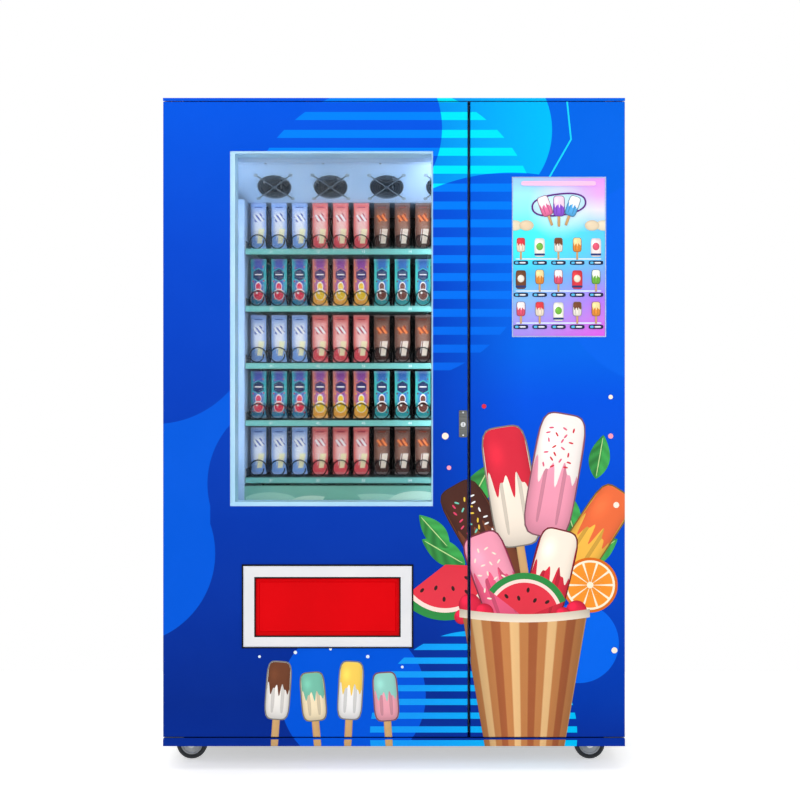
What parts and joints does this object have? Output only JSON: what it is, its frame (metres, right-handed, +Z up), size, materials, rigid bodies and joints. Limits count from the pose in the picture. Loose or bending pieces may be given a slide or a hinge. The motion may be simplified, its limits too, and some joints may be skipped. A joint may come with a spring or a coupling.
{
  "type": "snack vending machine",
  "caption": "Free-standing frozen snack vending machine with a glass door over spiral trays, a pickup flap, a service door with a display, and swivel casters.",
  "frame": {"origin": "on the floor under the wheels, at the middle of the machine's outline", "axes": "+X to the right seen from the front, +Y to the back, +Z up; the doors face -Y"},
  "size_m": [1.34, 0.85, 1.95],
  "materials": {
    "case_paint": "satin powder coat",
    "door_wrap": "glossy printed film on steel",
    "liner": "smooth moulded liner",
    "dark_metal": "black satin",
    "zinc": "zinc plated",
    "seal": "soft grey",
    "glass": "clear double pane",
    "white_plastic": "fine grain",
    "red_plastic": "glossy moulded",
    "steel": "satin",
    "silver": "satin anodised",
    "screen": "display",
    "white_paint": "satin powder coat",
    "tray_metal": "dark satin powder coat",
    "mint": "satin",
    "spiral_wire": "black plastic coat",
    "fins": "mill finish",
    "black_plastic": "fine grain",
    "bag": "printed film",
    "caster_steel": "zinc plated",
    "tyre": "black rubber"
  },
  "bodies": {
    "cabinet": {"cabinet_shell": "case_paint", "rear_grille": "case_paint", "roof_cap": "case_paint", "kick_strip": "door_wrap", "base_frame": "dark_metal", "cold_box": "liner", "door_hinges": "zinc", "inner_covers": "white_paint", "evaporator": "fins", "tray_rails": "white_paint", "delivery_bin": "mint", "fan_frames": "black_plastic", "condenser": "fins", "compressor": "dark_metal", "control_box": "case_paint", "power_inlet": "black_plastic", "caster_plates": "caster_steel"},
    "left_door": {"left_door_skin": "door_wrap", "left_door_core": "liner", "door_seal": "seal", "window_frame": "white_plastic", "window_glass": "glass", "pickup_frame": "white_plastic", "lock_plate": "steel"},
    "pickup_flap": {"pickup_flap": "red_plastic"},
    "lock_barrel": {"lock_barrel": "steel"},
    "right_door": {"right_door_skin": "door_wrap", "right_door_core": "liner", "screen_bezel": "silver", "screen_panel": "screen"},
    "fan_1": {"fan_1": "black_plastic"},
    "fan_2": {"fan_2": "black_plastic"},
    "fan_3": {"fan_3": "black_plastic"},
    "fan_4": {"fan_4": "black_plastic"},
    "tray_1": {"tray_1": "tray_metal"},
    "tray_2": {"tray_2": "tray_metal", "packs_2": "bag"},
    "tray_3": {"tray_3": "tray_metal", "packs_3": "bag"},
    "tray_4": {"tray_4": "tray_metal", "packs_4": "bag"},
    "tray_5": {"tray_5": "tray_metal", "packs_5": "bag"},
    "spiral_1": {"spiral_1": "spiral_wire"},
    "spiral_2": {"spiral_2": "spiral_wire"},
    "spiral_3": {"spiral_3": "spiral_wire"},
    "spiral_4": {"spiral_4": "spiral_wire"},
    "spiral_5": {"spiral_5": "spiral_wire"},
    "spiral_6": {"spiral_6": "spiral_wire"},
    "spiral_7": {"spiral_7": "spiral_wire"},
    "spiral_8": {"spiral_8": "spiral_wire"},
    "spiral_9": {"spiral_9": "spiral_wire"},
    "caster_fork_1": {"caster_fork_1": "caster_steel"},
    "caster_wheel_1": {"caster_wheel_1": "tyre"},
    "caster_fork_2": {"caster_fork_2": "caster_steel"},
    "caster_wheel_2": {"caster_wheel_2": "tyre"},
    "caster_fork_3": {"caster_fork_3": "caster_steel"},
    "caster_wheel_3": {"caster_wheel_3": "tyre"},
    "caster_fork_4": {"caster_fork_4": "caster_steel"},
    "caster_wheel_4": {"caster_wheel_4": "tyre"}
  },
  "joints": [
    {"name": "left_door_hinge", "type": "hinge", "parent": "cabinet", "child": "left_door", "pos_m": [-0.655, -0.38, 1], "axis": [0, 0, -1], "range_deg": [0, 110]},
    {"name": "right_door_hinge", "type": "hinge", "parent": "cabinet", "child": "right_door", "pos_m": [0.655, -0.38, 1], "axis": [0, 0, 1], "range_deg": [0, 110]},
    {"name": "pickup_flap_hinge", "type": "hinge", "parent": "left_door", "child": "pickup_flap", "pos_m": [-0.1925, -0.4145, 0.5537], "axis": [1, 0, 0], "range_deg": [0, 70]},
    {"name": "lock_turn", "type": "hinge", "parent": "left_door", "child": "lock_barrel", "pos_m": [0.2005, -0.38, 1.003], "axis": [0, -1, 0], "range_deg": [0, 90]},
    {"name": "fan_1_spin", "type": "hinge", "parent": "cabinet", "child": "fan_1", "pos_m": [-0.367, -0.18487, 1.72611], "axis": [0, -0.5534, -0.8329], "continuous": true},
    {"name": "fan_2_spin", "type": "hinge", "parent": "cabinet", "child": "fan_2", "pos_m": [-0.1952, -0.18487, 1.72611], "axis": [0, -0.5534, -0.8329], "continuous": true},
    {"name": "fan_3_spin", "type": "hinge", "parent": "cabinet", "child": "fan_3", "pos_m": [-0.0234, -0.18487, 1.72611], "axis": [0, -0.5534, -0.8329], "continuous": true},
    {"name": "fan_4_spin", "type": "hinge", "parent": "cabinet", "child": "fan_4", "pos_m": [0.1484, -0.18487, 1.72611], "axis": [0, -0.5534, -0.8329], "continuous": true},
    {"name": "tray_1_slide", "type": "slide", "parent": "cabinet", "child": "tray_1", "axis": [0, -1, 0], "range_m": [0, 0.12]},
    {"name": "tray_2_slide", "type": "slide", "parent": "cabinet", "child": "tray_2", "axis": [0, -1, 0], "range_m": [0, 0.12]},
    {"name": "tray_3_slide", "type": "slide", "parent": "cabinet", "child": "tray_3", "axis": [0, -1, 0], "range_m": [0, 0.12]},
    {"name": "tray_4_slide", "type": "slide", "parent": "cabinet", "child": "tray_4", "axis": [0, -1, 0], "range_m": [0, 0.12]},
    {"name": "tray_5_slide", "type": "slide", "parent": "cabinet", "child": "tray_5", "axis": [0, -1, 0], "range_m": [0, 0.12]},
    {"name": "spiral_1_turn", "type": "hinge", "parent": "tray_1", "child": "spiral_1", "pos_m": [-0.423, 0.05, 1.5628], "axis": [0, 1, 0], "continuous": true},
    {"name": "spiral_2_turn", "type": "hinge", "parent": "tray_1", "child": "spiral_2", "pos_m": [-0.359, 0.05, 1.5628], "axis": [0, 1, 0], "continuous": true},
    {"name": "spiral_3_turn", "type": "hinge", "parent": "tray_1", "child": "spiral_3", "pos_m": [-0.295, 0.05, 1.5628], "axis": [0, 1, 0], "continuous": true},
    {"name": "spiral_4_turn", "type": "hinge", "parent": "tray_1", "child": "spiral_4", "pos_m": [-0.231, 0.05, 1.5628], "axis": [0, 1, 0], "continuous": true},
    {"name": "spiral_5_turn", "type": "hinge", "parent": "tray_1", "child": "spiral_5", "pos_m": [-0.167, 0.05, 1.5628], "axis": [0, 1, 0], "continuous": true},
    {"name": "spiral_6_turn", "type": "hinge", "parent": "tray_1", "child": "spiral_6", "pos_m": [-0.103, 0.05, 1.5628], "axis": [0, 1, 0], "continuous": true},
    {"name": "spiral_7_turn", "type": "hinge", "parent": "tray_1", "child": "spiral_7", "pos_m": [-0.039, 0.05, 1.5628], "axis": [0, 1, 0], "continuous": true},
    {"name": "spiral_8_turn", "type": "hinge", "parent": "tray_1", "child": "spiral_8", "pos_m": [0.025, 0.05, 1.5628], "axis": [0, 1, 0], "continuous": true},
    {"name": "spiral_9_turn", "type": "hinge", "parent": "tray_1", "child": "spiral_9", "pos_m": [0.089, 0.05, 1.5628], "axis": [0, 1, 0], "continuous": true},
    {"name": "caster_1_swivel", "type": "hinge", "parent": "cabinet", "child": "caster_fork_1", "pos_m": [-0.578, -0.27, 0.1], "axis": [0, 0, 1], "continuous": true},
    {"name": "caster_1_roll", "type": "hinge", "parent": "caster_fork_1", "child": "caster_wheel_1", "pos_m": [-0.606, -0.27, 0.046], "axis": [0, 1, 0], "continuous": true},
    {"name": "caster_2_swivel", "type": "hinge", "parent": "cabinet", "child": "caster_fork_2", "pos_m": [0.557, -0.27, 0.1], "axis": [0, 0, 1], "continuous": true},
    {"name": "caster_2_roll", "type": "hinge", "parent": "caster_fork_2", "child": "caster_wheel_2", "pos_m": [0.585, -0.27, 0.046], "axis": [0, 1, 0], "continuous": true},
    {"name": "caster_3_swivel", "type": "hinge", "parent": "cabinet", "child": "caster_fork_3", "pos_m": [-0.578, 0.3, 0.1], "axis": [0, 0, 1], "continuous": true},
    {"name": "caster_3_roll", "type": "hinge", "parent": "caster_fork_3", "child": "caster_wheel_3", "pos_m": [-0.606, 0.3, 0.046], "axis": [0, 1, 0], "continuous": true},
    {"name": "caster_4_swivel", "type": "hinge", "parent": "cabinet", "child": "caster_fork_4", "pos_m": [0.557, 0.3, 0.1], "axis": [0, 0, 1], "continuous": true},
    {"name": "caster_4_roll", "type": "hinge", "parent": "caster_fork_4", "child": "caster_wheel_4", "pos_m": [0.585, 0.3, 0.046], "axis": [0, 1, 0], "continuous": true}
  ]
}
